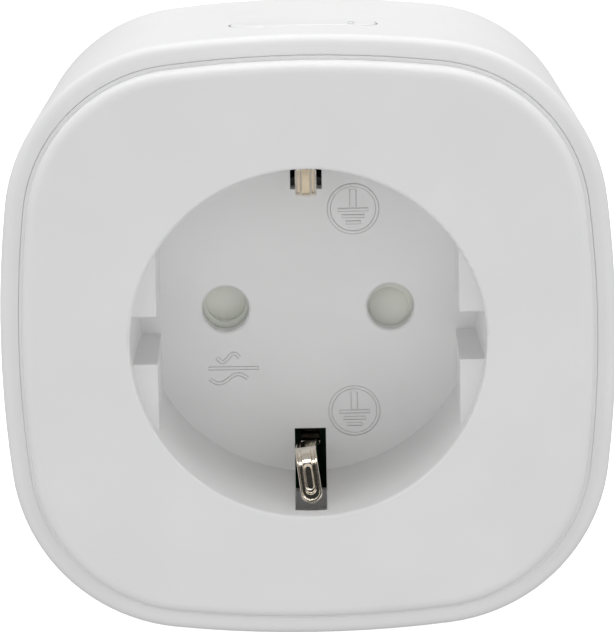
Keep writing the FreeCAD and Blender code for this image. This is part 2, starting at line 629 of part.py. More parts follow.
def relay_yoke():
    """Core through the coil and the L-shaped yoke beside it."""
    core = Part.makeCylinder(1.25, 12.6, Vector(RELAY_COIL[0], at(RELAY_COIL[1]), -7.6))
    foot = block((-25.8, -19.3), (26.6, 29.4), (-8.6, -7.4))
    upright = block((-20.3, -19.3), (26.6, 29.4), (-8.6, 5.2))
    return joined(core, foot, upright)


def relay_armature():
    """Hinged plate that the core pulls in to close the contacts."""
    heel = Part.makeCylinder(0.25, 2.8, Vector(-19.8, at(26.6), 5.5), Vector(0, 1, 0))
    return joined(block((-27.4, -19.6), (26.6, 29.4), (5.5, 6.3)), heel)


def bulk_capacitors():
    """Two electrolytic capacitors beside the sockets."""
    cans = []
    for z in (-5.2, 5.2):
        can = rod(4.0, (22.0, BOARD[0]), 24.0, z)
        can = can.makeFillet(0.6, outside_edges(can, 22.0, 0))
        cans.append(can)
    return Part.makeCompound(cans)


def film_capacitor():
    """Mains filter capacitor."""
    box = block((-14.0, -3.5), (24.0, BOARD[0]), (-26.8, -21.6))
    return box.makeFillet(0.5, outside_edges(box, 24.0, 0))


def varistor():
    """Surge absorber disc on edge."""
    disc = Part.makeCylinder(4.4, 3.4, Vector(4.0, at(29.2), -25.0), Vector(1, 0, 0))
    leads = [
        block((5.4, 6.0), (32.5, BOARD[0]), (z - 0.3, z + 0.3)) for z in (-27.2, -22.8)
    ]
    return joined(disc, *leads)


def fuse_resistor():
    """Fusible resistor in series with the supply."""
    body = Part.makeCylinder(1.7, 7.2, Vector(8.4, at(31.0), -20.6), Vector(1, 0, 0))
    ends = [block((x - 0.3, x + 0.3), (31.0, BOARD[0]), (-20.9, -20.3)) for x in (8.7, 15.3)]
    return joined(body, *ends)


def power_inductor():
    """Choke of the low-voltage supply."""
    core = rod(3.6, (28.2, BOARD[0]), 11.5, 20.0)
    return core.cut(tube(5.0, 2.4, (29.4, 33.4), 11.5, 20.0))


def inductor_winding():
    """Copper winding on the choke."""
    return tube(3.3, 2.4, (29.4, 33.4), 11.5, 20.0)


def current_shunt():
    """Low-value resistor strip that the line current is measured across."""
    foot = BOARD[0] - 0.4
    path = ((foot, -14.6), (31.8, -14.6), (31.8, -20.0), (foot, -20.0))
    return bent_strip(path, (0.8, 0.8), 0.8, 4.0, -12.0)


def chip(x, z, half_x, half_z, height):
    """A moulded circuit package lying on the board."""
    return block((x - half_x, x + half_x), (BOARD[0] - height, BOARD[0]), (z - half_z, z + half_z))


def metering_chip():
    """Energy-metering circuit next to the shunt."""
    return chip(-11.0, 19.5, 2.6, 2.0, 1.5)


def supply_chip():
    """Switching converter of the low-voltage supply."""
    return chip(3.0, 18.6, 2.4, 1.9, 1.5)


def bridge_rectifier():
    """Four-diode bridge."""
    return chip(19.6, -12.4, 2.3, 2.3, 2.4)


# ---- fasteners -----------------------------------------------------------------------------
def housing_screws():
    """Four screws from the wall face into the cover's bosses."""
    return Part.makeCompound(
        [screw(2.6, 2.0, 1.1, 30.0, 34.0, SCREW_XZ * i, SCREW_XZ * k) for i, k in CORNERS]
    )


def carrier_screws():
    """Two screws that hold the contact carrier to the cup."""
    return Part.makeCompound(
        [screw(1.7, 1.2, 0.75, 5.6, EAR_END + 2.0, EAR_XZ * k, EAR_XZ * k) for k in (-1, 1)]
    )


NODES = {
    "front_cover": front_cover,
    "rear_housing": rear_housing,
    "plug_body": plug_body,
    "power_button": power_button,
    "tact_switch_body": tact_switch_body,
    "tact_switch_plunger": tact_switch_plunger,
    "control_board": control_board,
    "status_light": status_light,
    "radio_shield": radio_shield,
    "radio_chip": radio_chip,
    "safety_shutter": safety_shutter,
    "shutter_pivot": shutter_pivot,
    "shutter_spring": shutter_spring,
    "contact_carrier": contact_carrier,
    "line_contact": lambda: live_contact(-1),
    "neutral_contact": lambda: live_contact(1),
    "earth_bridge": earth_bridge,
    "earth_clip_upper": lambda: earth_clip(1),
    "earth_clip_lower": lambda: earth_clip(-1),
    "plug_pin_line": lambda: plug_pin(-1),
    "plug_pin_neutral": lambda: plug_pin(1),
    "pin_retainer": pin_retainer,
    "plug_earth_bracket": plug_earth_bracket,
    "earth_receptacle": earth_receptacle,
    "line_strap": lambda: supply_strap(-1),
    "neutral_strap": lambda: supply_strap(1),
    "earth_link": earth_link,
    "main_board": main_board,
    "relay_case": relay_case,
    "relay_base": relay_base,
    "relay_coil": relay_coil,
    "relay_yoke": relay_yoke,
    "relay_armature": relay_armature,
    "bulk_capacitors": bulk_capacitors,
    "film_capacitor": film_capacitor,
    "varistor": varistor,
    "fuse_resistor": fuse_resistor,
    "power_inductor": power_inductor,
    "inductor_winding": inductor_winding,
    "current_shunt": current_shunt,
    "metering_chip": metering_chip,
    "supply_chip": supply_chip,
    "bridge_rectifier": bridge_rectifier,
    "housing_screws": housing_screws,
    "carrier_screws": carrier_screws,
}


def main():
    """Builds each node and writes it as one STEP file."""
    os.makedirs(OUT, exist_ok=True)
    for name, build in NODES.items():
        shape = build()
        sound = shape.isValid() and all(s.isClosed() and s.Volume > 0 for s in shape.Solids)
        print(f"{name}: {len(shape.Solids)} solid(s), {shape.Volume:.1f} mm3, sound {sound}")
        shape.exportStep(os.path.join(OUT, name + ".step"))


main()
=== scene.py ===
import logging
import math
from collections.abc import Iterable, Sequence
from dataclasses import dataclass, field
from enum import Enum

import bmesh
import bpy
from mathutils import Matrix, Vector


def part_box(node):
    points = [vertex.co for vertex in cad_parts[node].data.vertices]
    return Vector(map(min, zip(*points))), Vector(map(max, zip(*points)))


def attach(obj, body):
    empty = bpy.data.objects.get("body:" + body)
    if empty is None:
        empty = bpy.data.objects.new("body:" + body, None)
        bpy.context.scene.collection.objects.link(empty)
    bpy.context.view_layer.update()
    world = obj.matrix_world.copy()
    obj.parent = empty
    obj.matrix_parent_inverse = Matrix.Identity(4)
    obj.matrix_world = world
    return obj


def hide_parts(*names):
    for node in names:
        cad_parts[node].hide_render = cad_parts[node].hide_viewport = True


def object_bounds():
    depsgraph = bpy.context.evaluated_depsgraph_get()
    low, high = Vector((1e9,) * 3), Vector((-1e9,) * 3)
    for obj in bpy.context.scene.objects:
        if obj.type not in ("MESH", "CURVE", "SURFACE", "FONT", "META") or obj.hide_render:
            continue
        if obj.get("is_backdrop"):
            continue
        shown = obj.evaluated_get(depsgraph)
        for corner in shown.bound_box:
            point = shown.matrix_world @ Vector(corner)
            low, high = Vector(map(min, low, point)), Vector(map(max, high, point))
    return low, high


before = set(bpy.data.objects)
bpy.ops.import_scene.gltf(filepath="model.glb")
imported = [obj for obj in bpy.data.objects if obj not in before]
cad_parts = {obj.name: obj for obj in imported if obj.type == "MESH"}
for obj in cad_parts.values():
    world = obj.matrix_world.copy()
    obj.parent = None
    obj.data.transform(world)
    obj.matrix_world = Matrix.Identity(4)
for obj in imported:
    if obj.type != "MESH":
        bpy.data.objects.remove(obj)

# Looks for a plug-in power meter: a white adapter with a round earthed socket in its front.
# Everything is in metres in the part's own frame: +Y points into the wall, +Z is up, and the
# front face looks along -Y. Sizes below are written in millimetres and turned by MM.

MM = 0.001
FRONT_Y = -56.0  # front face
FLOOR_Y = -38.5  # floor of the socket recess
WALL_Y = -17.0  # face that lies on the wall

NOISE_RANGE = (0.3, 0.7)  # where nearly all of a noise pattern's values lie
EDGE_COSINES = (0.995, 0.86)  # between plain and rounded normal: flat face, full edge
LINE_SQUEEZE = 0.04  # a drawn line is this much slower along its run than across it
TURN_SQUEEZE = 0.12  # the same for turned rings
SHARP_DEGREES = 35.0  # steeper edges than this are shaded sharp

log = logging.getLogger("power_meter")
Colour = tuple[float, float, float, float]
Point2 = tuple[float, float]


# ---- colours and nodes ---------------------------------------------------------------------
def linear(code: str) -> Colour:
    """Turns an sRGB hex colour into linear light.

    Args:
        code: six hex digits.

    Returns:
        Red, green, blue and full alpha, linear.
    """
    parts = (int(code[i : i + 2], 16) / 255 for i in (0, 2, 4))
    r, g, b = (c / 12.92 if c <= 0.04045 else ((c + 0.055) / 1.055) ** 2.4 for c in parts)
    return (r, g, b, 1.0)


def add(
    tree: bpy.types.NodeTree, kind: str, inputs: dict | None = None, **settings: object
) -> bpy.types.Node:
    """Adds one node to a tree.

    Args:
        tree: the tree it goes into.
        kind: the node's type name, without its common prefix.
        inputs: for each input, by name or number, a plain value or the output that feeds it.
        settings: the node's own options.

    Returns:
        The new node.
    """
    made = tree.nodes.new("ShaderNode" + kind)
    for name, value in settings.items():
        setattr(made, name, value)
    for name, source in (inputs or {}).items():
        if isinstance(source, bpy.types.NodeSocket):
            tree.links.new(source, made.inputs[name])
        else:
            made.inputs[name].default_value = source
    return made


class Grain(Enum):
    """How a surface was made, which decides its fine pattern."""

    SPARK = "spark-eroded mould"
    POLISHED = "polished mould"
    DRAWN_ALONG_DEPTH = "drawn or rolled, lines along Y"
    DRAWN_ACROSS = "rolled, lines along X"
    TURNED = "turned round the Y axis"
    WOVEN = "glass weave under lacquer"


@dataclass(frozen=True)
class Finish:
    """One material as it leaves its process.

    The grain is a fine bump; the mottle is a slow drift of colour and gloss; edges are rounded
    a little and rubbed to another gloss.
    """

    name: str
    slot: str
    colour: str
    second: str
    grain: Grain = Grain.SPARK
    metallic: float = 0.0
    roughness: float = 0.45
    ior: float = 1.53
    grain_mm: float = 0.35
    grain_depth_mm: float = 0.003
    mottle_mm: float = 12.0
    gloss_drift: float = 0.06
    edge_mm: float = 0.15
    edge_gloss: float = -0.12
    edge_colour: str | None = None
    edge_share: float = 0.3
    coat: float = 0.0
    coat_roughness: float = 0.08
    subsurface: float = 0.0
    scatter_mm: float = 0.4
    scatter_tint: tuple[float, float, float] = (1.0, 0.95, 0.9)

    def material(self) -> bpy.types.Material:
        """Makes the material, or finds it if it's made already."""
        found = bpy.data.materials.get(self.name)
        return found if found else self._make()

    def _coordinates(self, tree: bpy.types.NodeTree) -> bpy.types.NodeSocket:
        """Gives the pattern's coordinates in metres, stretched for lines.

        Args:
            tree: the material's tree.

        Returns:
            The output with the coordinates.
        """
        place = add(tree, "TexCoord").outputs["Object"]
        stretch = {
            Grain.DRAWN_ALONG_DEPTH: (1.0, LINE_SQUEEZE, 1.0),
            Grain.DRAWN_ACROSS: (LINE_SQUEEZE, 1.0, 1.0),
            Grain.TURNED: (TURN_SQUEEZE, 1.0, TURN_SQUEEZE),
        }.get(self.grain)
        if stretch is None:
            return place
        return add(tree, "Mapping", {"Vector": place, "Scale": stretch}).outputs["Vector"]

    def _height(self, tree: bpy.types.NodeTree, place: bpy.types.NodeSocket) -> bpy.types.NodeSocket:
        """Makes the fine surface pattern.

        Args:
            tree: the material's tree.
            place: coordinates in metres.

        Returns:
            The output with the height from 0 to 1.
        """
        scale = 1.0 / (self.grain_mm * MM)
        if self.grain is Grain.WOVEN:
            threads = {"Vector": place, "Scale": scale / 2, "Distortion": 0.4, "Detail": 1.0}
            warp, weft = (
                add(tree, "TexWave", threads, bands_direction=way).outputs["Fac"] for way in "XZ"
            )
            return add(tree, "Math", {0: warp, 1: weft}, operation="MAXIMUM").outputs[0]
        pattern = {"Vector": place, "Scale": scale, "Detail": 3.0, "Roughness": 0.6}
        return add(tree, "TexNoise", pattern).outputs["Fac"]

    def _make(self) -> bpy.types.Material:
        """Builds the material's nodes."""
        made = bpy.data.materials.new(self.name)
        made.use_nodes = True
        tree = made.node_tree
        tree.nodes.clear()
        place = self._coordinates(tree)
        height = self._height(tree, place)
        plain = add(tree, "TexCoord").outputs["Object"]
        slow = {"Vector": plain, "Scale": 1 / (self.mottle_mm * MM), "Detail": 4.0}
        drift = add(tree, "TexNoise", slow).outputs["Fac"]
        rounded = add(tree, "Bevel", {"Radius": self.edge_mm * MM}, samples=6).outputs[0]
        flat = add(tree, "NewGeometry").outputs["Normal"]
        facing = add(tree, "VectorMath", {0: rounded, 1: flat}, operation="DOT_PRODUCT")
        flat_face, full_edge = EDGE_COSINES
        span = {"Value": facing.outputs["Value"], "From Min": flat_face, "From Max": full_edge}
        edge = add(tree, "MapRange", span, clamp=True).outputs[0]
        low, high = NOISE_RANGE
        blend = add(
            tree, "MapRange", {"Value": drift, "From Min": low, "From Max": high}
        ).outputs[0]
        body = add(
            tree,
            "Mix",
            {0: blend, 6: linear(self.colour), 7: linear(self.second)},
            data_type="RGBA",
        ).outputs[2]
        share = add(tree, "Math", {0: edge, 1: self.edge_share}, operation="MULTIPLY")
        rim = linear(self.edge_colour or self.colour)
        colour = add(
            tree, "Mix", {0: share.outputs[0], 6: body, 7: rim}, data_type="RGBA"
        ).outputs[2]
        drifted = add(
            tree,
            "MapRange",
            {
                "Value": drift,
                "From Min": low,
                "From Max": high,
                "To Min": self.roughness - self.gloss_drift,
                "To Max": self.roughness + self.gloss_drift,
            },
        ).outputs[0]
        gloss = add(
            tree,
            "Math",
            {0: edge, 1: self.edge_gloss, 2: drifted},
            operation="MULTIPLY_ADD",
            use_clamp=True,
        ).outputs[0]
        bump = add(
            tree,
            "Bump",
            {
                "Height": height,
                "Distance": self.grain_depth_mm * MM,
                "Strength": 1.0,
                "Normal": rounded,
            },
        ).outputs[0]
        shader = add(
            tree,
            "BsdfPrincipled",
            {
                "Base Color": colour,
                "Roughness": gloss,
                "Normal": bump,
                "Metallic": self.metallic,
            },
        )
        if self.metallic == 0.0:
            shader.inputs["IOR"].default_value = self.ior
        if self.coat:
            shader.inputs["Coat Weight"].default_value = self.coat
            shader.inputs["Coat Roughness"].default_value = self.coat_roughness
        if self.subsurface:
            shader.inputs["Subsurface Weight"].default_value = self.subsurface
            shader.inputs["Subsurface Radius"].default_value = self.scatter_tint
            shader.inputs["Subsurface Scale"].default_value = self.scatter_mm * MM
        add(tree, "OutputMaterial", {"Surface": shader.outputs[0]})
        return made


# Flame-retardant PC/ABS from a spark-eroded mould: an even satin white that shows no hot spot.
# The real texture is about 0.1 mm from crest to crest, too fine to show, so it's drawn at 0.35.
SATIN_ABS = Finish("pc_abs_spark_eroded_white", "shell_plastic", "F0F0F0", "ECECEC")
# The same resin from a finer mould, so the button reads a touch smoother than the shell.
BUTTON_ABS = Finish(
    "pc_abs_fine_texture_white",
    "button_plastic",
    "F1F1F1",
    "EEEEEE",
    roughness=0.38,
    grain_mm=0.25,
    grain_depth_mm=0.002,
)
# Acetal, moulded against a smooth tool: waxy, grey-green, a soft highlight.
ACETAL = Finish(
    "acetal_moulded_grey_green",
    "shutter_plastic",
    "E9EBE3",
    "E2E4DA",
    roughness=0.34,
    ior=1.48,
    grain_mm=0.5,
    grain_depth_mm=0.002,
    mottle_mm=6.0,
)
# Glass-filled nylon with a dry, slightly streaked skin, drawn nearly black: partly the resin's own
# colour, partly painted shade that keeps the cavity behind the socket slots dark.
NYLON = Finish(
    "glass_filled_nylon_moulded",
    "carrier_plastic",
    "2C2D2F",
    "37383A",
    roughness=0.58,
    grain_mm=0.4,
    grain_depth_mm=0.006,
    mottle_mm=4.0,
)
# Moulded thermoplastic of a small switch: matt black.
SWITCH_BLACK = Finish(
    "nylon_moulded_black", "switch_black", "2A2A2C", "333335", roughness=0.5, mottle_mm=3.0
)
# Glass-epoxy laminate under green solder mask: the weave shows faintly through the lacquer.
# Its threads are 0.45 mm apart.
LAMINATE = Finish(
    "glass_epoxy_solder_mask",
    "circuit_board",
    "1F6B45",
    "1A5E3C",
    Grain.WOVEN,
    roughness=0.3,
    grain_mm=0.45,
    grain_depth_mm=0.006,
    mottle_mm=5.0,
    edge_colour="9DA37A",
    edge_share=0.8,
    edge_gloss=0.2,
    coat=0.35,
)
# Transfer-moulded epoxy: nearly black, finely sandy.
EPOXY = Finish(
    "epoxy_transfer_moulded",
    "chip_black",
    "262628",
    "2E2E30",
    roughness=0.55,
    grain_mm=0.18,
    grain_depth_mm=0.004,
    mottle_mm=2.0,
)
# Diffusing silicone over a light-emitting chip: milky and glossy.
LENS = Finish(
    "silicone_cast_diffusing",
    "light_lens",
    "EEF1F3",
    "E2E8EC",
    Grain.POLISHED,
    roughness=0.2,
    ior=1.41,
    subsurface=0.5,
    mottle_mm=1.0,
    grain_mm=0.3,
    grain_depth_mm=0.001,
)
# Tin-plated sheet, deep drawn: soft grey shine with rolling lines.
TINPLATE = Finish(
    "steel_tin_plated_drawn",
    "can_steel",
    "D6D7DA",
    "C8CACD",
    Grain.DRAWN_ACROSS,
    metallic=1.0,
    roughness=0.3,
    grain_mm=0.12,
    grain_depth_mm=0.002,
    mottle_mm=3.0,
    edge_gloss=-0.08,
)
# Patented spring wire, drawn bright: die lines run along the wire.
SPRING_WIRE = Finish(
    "spring_steel_drawn",
    "spring_steel",
    "C9CACD",
    "BCBEC2",
    Grain.DRAWN_ACROSS,
    metallic=1.0,
    roughness=0.22,
    grain_mm=0.08,
    grain_depth_mm=0.002,
    mottle_mm=2.0,
)
# Rolled brass strip, blanked, bent and nickel plated: warm silver, rolling lines along the
# strip, brighter where the blanking die sheared the edges.
NICKEL = Finish(
    "brass_nickel_plated_rolled",
    "nickel_brass",
    "EFE8DC",
    "E5DCCB",
    Grain.DRAWN_ALONG_DEPTH,
    metallic=1.0,
    roughness=0.15,
    grain_mm=0.14,
    grain_depth_mm=0.004,
    mottle_mm=1.6,
    gloss_drift=0.03,
    edge_mm=0.06,
    edge_colour="FAF6EE",
    edge_share=0.6,
    edge_gloss=-0.04,
)
# The same plating on the pressed clips: the punch burnished it, so flats turn nearly mirror-dark
# and the rounded edges carry the highlights.
PRESSED_NICKEL = Finish(
    "brass_nickel_plated_pressed",
    "nickel_brass",
    "F3ECE0",
    "E8DECE",
    Grain.DRAWN_ALONG_DEPTH,
    metallic=1.0,
    roughness=0.09,
    grain_mm=0.14,
    grain_depth_mm=0.0012,
    mottle_mm=1.6,
    gloss_drift=0.02,
    edge_mm=0.05,
    edge_colour="FAF6EE",
    edge_share=0.6,
    edge_gloss=-0.02,
)
# Spring bronze strip, rolled: warm copper with a dull film from handling.
BRONZE = Finish(
    "copper_alloy_rolled",
    "contact_copper",
    "E0B48C",
    "CF9C72",
    Grain.DRAWN_ALONG_DEPTH,
    metallic=1.0,
    roughness=0.28,
    grain_mm=0.14,
    grain_depth_mm=0.003,
    mottle_mm=2.0,
    edge_colour="F0CDA8",
)
# Zinc-plated cold-headed steel: bluish grey, slightly clouded by the bath.
ZINC = Finish(
    "steel_zinc_plated_headed",
    "screw_steel",
    "C3C7CC",
    "AEB4BC",
    Grain.TURNED,
    metallic=1.0,
    roughness=0.34,
    grain_mm=0.15,
    grain_depth_mm=0.004,
    mottle_mm=1.2,
    edge_mm=0.08,
    edge_colour="DDE0E4",
)
# Polyester moulded in a polished tool: deep glossy blue.
BLUE_CASE = Finish(
    "polyester_moulded_blue",
    "relay_blue",
    "2B4F9A",
    "274A92",
    Grain.POLISHED,
    roughness=0.2,
    ior=1.57,
    grain_mm=0.8,
    grain_depth_mm=0.001,
    mottle_mm=8.0,
    coat=0.3,
)
# Soft iron, stamped and flashed with nickel: dull silver with stamping marks.
SOFT_IRON = Finish(
    "soft_iron_stamped_nickel_flash",
    "relay_iron",
    "B9BABD",
    "A6A7AB",
    Grain.DRAWN_ALONG_DEPTH,
    metallic=1.0,
    roughness=0.4,
    grain_mm=0.2,
    grain_depth_mm=0.004,
    mottle_mm=1.5,
)
# Enamelled magnet wire: red-brown copper under clear lacquer.
MAGNET_WIRE = Finish(
    "copper_wire_enamelled",
    "coil_copper",
    "B4602F",
    "A65328",
    Grain.POLISHED,
    metallic=1.0,
    roughness=0.25,
    grain_mm=0.3,
    grain_depth_mm=0.001,
    mottle_mm=1.5,
    coat=0.6,
)
# Sintered ferrite: matt dark grey, chalky at the edges.
FERRITE = Finish(
    "ferrite_sintered",
    "ferrite",
    "3C3C3E",
    "464648",
    roughness=0.62,
    ior=2.2,
    grain_mm=0.2,
    grain_depth_mm=0.006,
    mottle_mm=2.0,
    edge_colour="6A6A6C",
)
# Shrunk PET sleeve over an aluminium can: dark, glossy, slightly wavy.
SLEEVE = Finish(
    "pet_sleeve_shrunk",
    "capacitor_sleeve",
    "20304A",
    "263650",
    Grain.POLISHED,
    roughness=0.22,
    ior=1.58,
    grain_mm=1.5,
    grain_depth_mm=0.02,
    mottle_mm=4.0,
    coat=0.4,
)
# Polyester box filled with resin: orange-yellow, glossy with faint sink marks.
FILM_BOX = Finish(
    "polyester_box_potted",
    "film_box",
    "EDC25A",
    "E5B84E",
    Grain.POLISHED,
    roughness=0.28,
    grain_mm=1.2,
    grain_depth_mm=0.01,
    mottle_mm=5.0,
)
# Dipped epoxy powder on a zinc-oxide disc: bright blue with orange-peel skin.
DIPPED_EPOXY = Finish(
    "epoxy_dipped_blue",
    "varistor_blue",
    "4B80BE",
    "4275B2",
    Grain.POLISHED,
    roughness=0.25,
    grain_mm=0.9,
    grain_depth_mm=0.03,
    mottle_mm=3.0,
    coat=0.3,
)
# Flameproof cement coat on a resistor: matt grey-green and slightly gritty.
CEMENT = Finish(
    "flameproof_coat_sprayed",
    "resistor_body",
    "9CBBA0",
    "8FAF94",
    roughness=0.6,
    grain_mm=0.25,
    grain_depth_mm=0.01,
    mottle_mm=2.0,
)
# Manganin strip, rolled: yellowish silver with lines along the strip.
MANGANIN = Finish(
    "manganin_rolled",
    "shunt_metal",
    "CFC7B8",
    "C0B7A6",
    Grain.DRAWN_ALONG_DEPTH,
    metallic=1.0,
    roughness=0.3,
    grain_mm=0.15,
    grain_depth_mm=0.003,
    mottle_mm=2.0,
)


# ---- shared mesh work ----------------------------------------------------------------------
def shape(name: str, build: bmesh.types.BMesh, finish: Finish, body: str) -> bpy.types.Object:
    """Turns a finished bmesh into a piece of the object.

    Args:
        name: the piece's name.
        build: its mesh in millimetres; it is freed here.
        finish: its finish.
        body: the moving body that it rides on.

    Returns:
        The new object.
    """
    bmesh.ops.scale(build, vec=(MM, MM, MM), verts=build.verts)
    bmesh.ops.remove_doubles(build, verts=build.verts, dist=1e-7)
    bmesh.ops.recalc_face_normals(build, faces=build.faces)
    data = bpy.data.meshes.new(name)
    build.to_mesh(data)
    build.free()
    data.materials.append(finish.material())
    data.shade_smooth()
    data.set_sharp_from_angle(angle=math.radians(SHARP_DEGREES))
    made = bpy.data.objects.new(name, data)
    bpy.context.scene.collection.objects.link(made)
    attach(made, body)
    return made


def sweep(
    build: bmesh.types.BMesh,
    line: Sequence[Vector],
    section: Sequence[Point2],
    normal: Vector,
    closed: bool = False,
) -> None:
    """Sweeps a cross-section along a line that lies in one plane.

    Args:
        build: the mesh that it's added to.
        line: the line's points.
        section: the section's points, across the line and along the plane's normal.
        normal: the plane's normal.
        closed: True if the line runs back to its start.
    """
    rings = []
    count = len(line)
    for i, point in enumerate(line):
        before = line[(i - 1) % count] if closed or i else point
        after = line[(i + 1) % count] if closed or i < count - 1 else point
        across = (after - before).cross(normal).normalized()
        rings.append([build.verts.new(point + across * a + normal * b) for a, b in section])
    pairs = zip(rings, rings[1:] + (rings[:1] if closed else []))
    size = len(section)
    for one, two in pairs:
        for k in range(size):
            build.faces.new((one[k], one[(k + 1) % size], two[(k + 1) % size], two[k]))
    if not closed:
        build.faces.new(rings[0])
        build.faces.new(list(reversed(rings[-1])))


def lathe(
    build: bmesh.types.BMesh,
    profile: Sequence[Point2],
    centre: Vector,
    axis: Vector,
    sides: int = 24,
) -> None:
    """Turns a profile round an axis.

    Args:
        build: the mesh that it's added to.
        profile: radius and height of each point; the ends lie on the axis.
        centre: where the axis starts.
        axis: the axis's direction, of length 1.
        sides: how many steps make the full turn.
    """
    side = axis.orthogonal().normalized()
    other = axis.cross(side)
    rings = []
    for radius, height in profile:
        middle = centre + axis * height
        if radius < 1e-6:
            rings.append([build.verts.new(middle)])
            continue
        rings.append(
            [
                build.verts.new(
                    middle
                    + side * radius * math.cos(math.tau * k / sides)
                    + other * radius * math.sin(math.tau * k / sides)
                )
                for k in range(sides)
            ]
        )
    for one, two in zip(rings, rings[1:]):
        for k in range(sides):
            after = (k + 1) % sides
            corners = [one[k % len(one)], one[after % len(one)]]
            corners += [two[after % len(two)], two[k % len(two)]]
            unique = list(dict.fromkeys(corners))
            if len(unique) > 2:
                build.faces.new(unique)


def dress(node: str, finish: Finish) -> str:
    """Gives one of the part's own pieces its finish.

    Args:
        node: the piece's name.
        finish: its finish.

    Returns:
        A word on what was done, for the log.
    """
    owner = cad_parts[node]
    owner.data.materials.clear()
    owner.data.materials.append(finish.material())
    return f"{node}: {finish.name}"


@dataclass
class SubAssembly:
    """Pieces of one job in the meter, made and dressed together."""

    dressed: dict[str, Finish] = field(default_factory=dict)

    def build(self) -> Iterable[bpy.types.Object]:
        """Makes the extra pieces; a plain sub-assembly has none."""
        return ()

    def run(self) -> None:
        """Dresses the part's own pieces, makes the extra ones, and logs each."""
        for node, finish in self.dressed.items():
            log.info(dress(node, finish))
        for made in self.build():
            log.info("%s: made, %d faces", made.name, len(made.data.polygons))


# ---- sub-assemblies ------------------------------------------------------------------------
@dataclass
class Shells(SubAssembly):
    """Cover, rear housing and plug body, with the low relief marks of the mould."""

    dressed: dict[str, Finish] = field(
        default_factory=lambda: {
            "front_cover": SATIN_ABS,
            "rear_housing": SATIN_ABS,
            "plug_body": SATIN_ABS,
        }
    )
    line_mm: float = 0.62
    relief_mm: float = 0.055
    sunk_mm: float = 0.01  # how far a relief line's foot reaches into the face
    flank_steps: int = 5
    earth_marks: tuple[Point2, Point2] = ((5.35, 11.6), (5.15, -12.3))
    earth_ring_mm: float = 2.78
    ring_steps: int = 48
    stem: Point2 = (2.3, 0.2)  # its ends, above the sign's centre
    stem_width: float = 1.6  # times the usual line
    bars: tuple[Point2, ...] = ((1.77, 0.1), (1.3, 0.87), (0.9, 1.6))  # half length, below centre
    supply_mark: Point2 = (-8.7, -7.0)
    supply_bar_half: float = 2.9
    waves: tuple[tuple[float, float, float], ...] = ((1.3, 1.25, 0.5), (2.2, -1.25, 0.55))
    waves_shift: float = -0.6
    panel: tuple[float, float, float, float] = (-12.0, 12.0, 21.2, 27.4)
    panel_corner: float = 1.2

    def _ridge(self, wide: float = 1.0) -> list[Point2]:
        """Section of a raised line with rounded shoulders.

        Args:
            wide: how many times the usual width.

        Returns:
            Points across the line and above the face.
        """
        half, top, flank = self.line_mm * wide / 2, self.relief_mm, self.line_mm / 2
        steps = self.flank_steps
        one_side = [
            (half - flank * t / steps, top * (1 - math.cos(math.pi * t / steps)) / 2 - self.sunk_mm)
            for t in range(steps + 1)
        ]
        return one_side + [(-a, b) for a, b in reversed(one_side)]

    def _stroke(
        self,
        build: bmesh.types.BMesh,
        points: Sequence[Point2],
        closed: bool = False,
        wide: float = 1.0,
    ) -> None:
        """Adds one raised line to the recess floor.

        Args:
            build: the mesh that it's added to.
            points: x and z along the line.
            closed: True for a ring.
            wide: how many times the usual width.
        """
        line = [Vector((x, FLOOR_Y, z)) for x, z in points]
        sweep(build, line, self._ridge(wide), Vector((0, -1, 0)), closed)

    def _earth(self, name: str, centre: Point2) -> bpy.types.Object:
        """Makes the protective-earth sign in its ring.

        Args:
            name: the piece's name.
            centre: x and z of its centre.

        Returns:
            The piece.
        """
        build = bmesh.new()
        (x, z), r = centre, self.earth_ring_mm
        turns = [math.tau * k / self.ring_steps for k in range(self.ring_steps)]
        ring = [(x + r * math.cos(turn), z + r * math.sin(turn)) for turn in turns]
        self._stroke(build, ring, True)
        self._stroke(build, [(x, z + up) for up in self.stem], wide=self.stem_width)
        for half, down in self.bars:
            self._stroke(build, [(x - half, z - down), (x + half, z - down)])
        return shape(name, build, SATIN_ABS, "housing")

    def _supply(self) -> bpy.types.Object:
        """Makes the alternating-current sign: a wave over a bar, with a wider wave below."""
        build = bmesh.new()
        x, z = self.supply_mark
        bar, steps = self.supply_bar_half, 8
        self._stroke(build, [(x - bar, z), (x + bar, z)])
        for half, offset, tall in self.waves:
            wave = [
                (
                    x + self.waves_shift + half * t / steps,
                    z + offset + tall * math.sin(math.pi * t / steps),
                )
                for t in range(-steps, steps + 1)
            ]
            self._stroke(build, wave)
        return shape("supply_mark", build, SATIN_ABS, "housing")

    def _panel(self) -> bpy.types.Object:
        """Makes the blank frame on the wall face where a maker's data would stand."""
        build = bmesh.new()
        x0, x1, z0, z1 = self.panel
        r, steps = self.panel_corner, 6
        corners = (
            (x1 - r, z1 - r, 0),
            (x0 + r, z1 - r, 90),
            (x0 + r, z0 + r, 180),
            (x1 - r, z0 + r, 270),
        )
        line = []
        for cx, cz, start in corners:
            for step in range(steps + 1):
                turn = math.radians(start + 90 * step / steps)
                line.append(Vector((cx + r * math.cos(turn), WALL_Y, cz + r * math.sin(turn))))
        sweep(build, line, self._ridge(), Vector((0, 1, 0)), True)
        return shape("wall_face_panel_frame", build, SATIN_ABS, "housing")

    def build(self) -> Iterable[bpy.types.Object]:
        """Makes the relief marks and the panel frame."""
        for name, centre in zip(("earth_mark_upper", "earth_mark_lower"), self.earth_marks):
            yield self._earth(name, centre)
        yield self._supply()
        yield self._panel()


